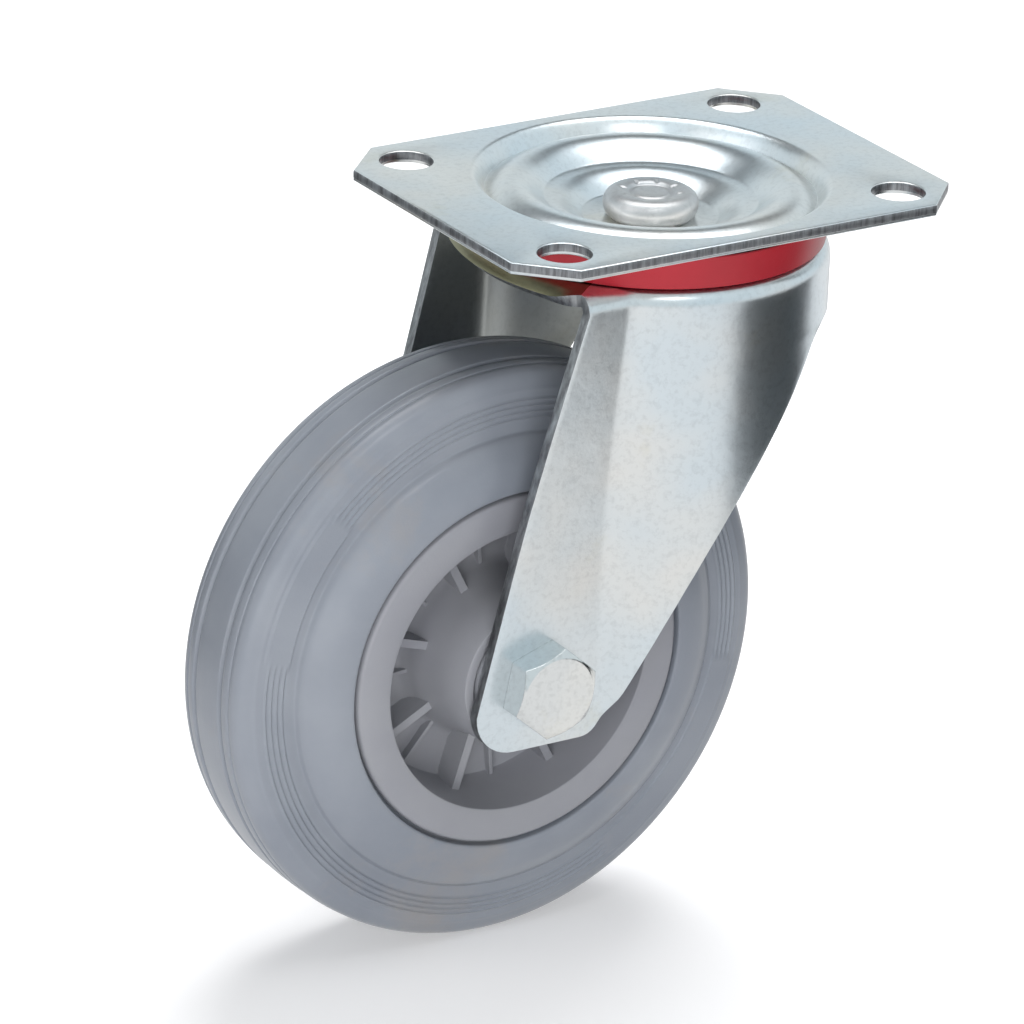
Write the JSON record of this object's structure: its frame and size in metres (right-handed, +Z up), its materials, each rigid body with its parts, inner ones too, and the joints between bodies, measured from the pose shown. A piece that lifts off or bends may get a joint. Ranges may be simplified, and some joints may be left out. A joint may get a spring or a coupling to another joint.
{
  "type": "swivel castor",
  "caption": "Swivel castor: flat bolt-on top plate with a stepped recess, double ball race, pressed steel fork and a solid rubber tyre on a ribbed plastic rim.",
  "frame": {"origin": "centre of the plate's top face, on the swivel axis", "axes": "+Z up along the swivel axis out of the plate, +X along the plate away from the trailing wheel, +Y along the axle away from the bolt head"},
  "size_m": [0.1543, 0.0809, 0.1565],
  "materials": {
    "zinc_sheet": "zinc plated, blue passivated, satin",
    "zinc_steel": "zinc plated, satin",
    "ball_steel": "polished, greased",
    "red_seal": "satin",
    "washer_plastic": "satin",
    "nut_nylon": "satin",
    "rim_plastic": "satin, moulded",
    "tyre_rubber": "matte grey, non-marking"
  },
  "bodies": {
    "plate": {"mounting_plate": "zinc_sheet", "king_pin": "zinc_steel", "lower_race": "zinc_steel", "dust_seal": "red_seal", "lower_balls": "ball_steel"},
    "fork": {"fork": "zinc_sheet", "upper_balls": "ball_steel", "axle_bolt": "zinc_steel", "axle_tube": "zinc_steel", "thrust_washer_near": "washer_plastic", "thrust_washer_far": "washer_plastic", "nut_washer": "zinc_steel", "axle_nut": "zinc_steel", "nut_ring": "nut_nylon"},
    "wheel": {"rim": "rim_plastic", "tyre": "tyre_rubber", "roller_cage": "washer_plastic", "rollers": "ball_steel"}
  },
  "joints": [
    {"name": "swivel", "type": "hinge", "parent": "plate", "child": "fork", "pos_m": [0, 0, 0], "axis": [0, 0, 1], "continuous": true},
    {"name": "wheel_spin", "type": "hinge", "parent": "fork", "child": "wheel", "pos_m": [-0.0393, 0, -0.094], "axis": [0, 1, 0], "continuous": true}
  ]
}
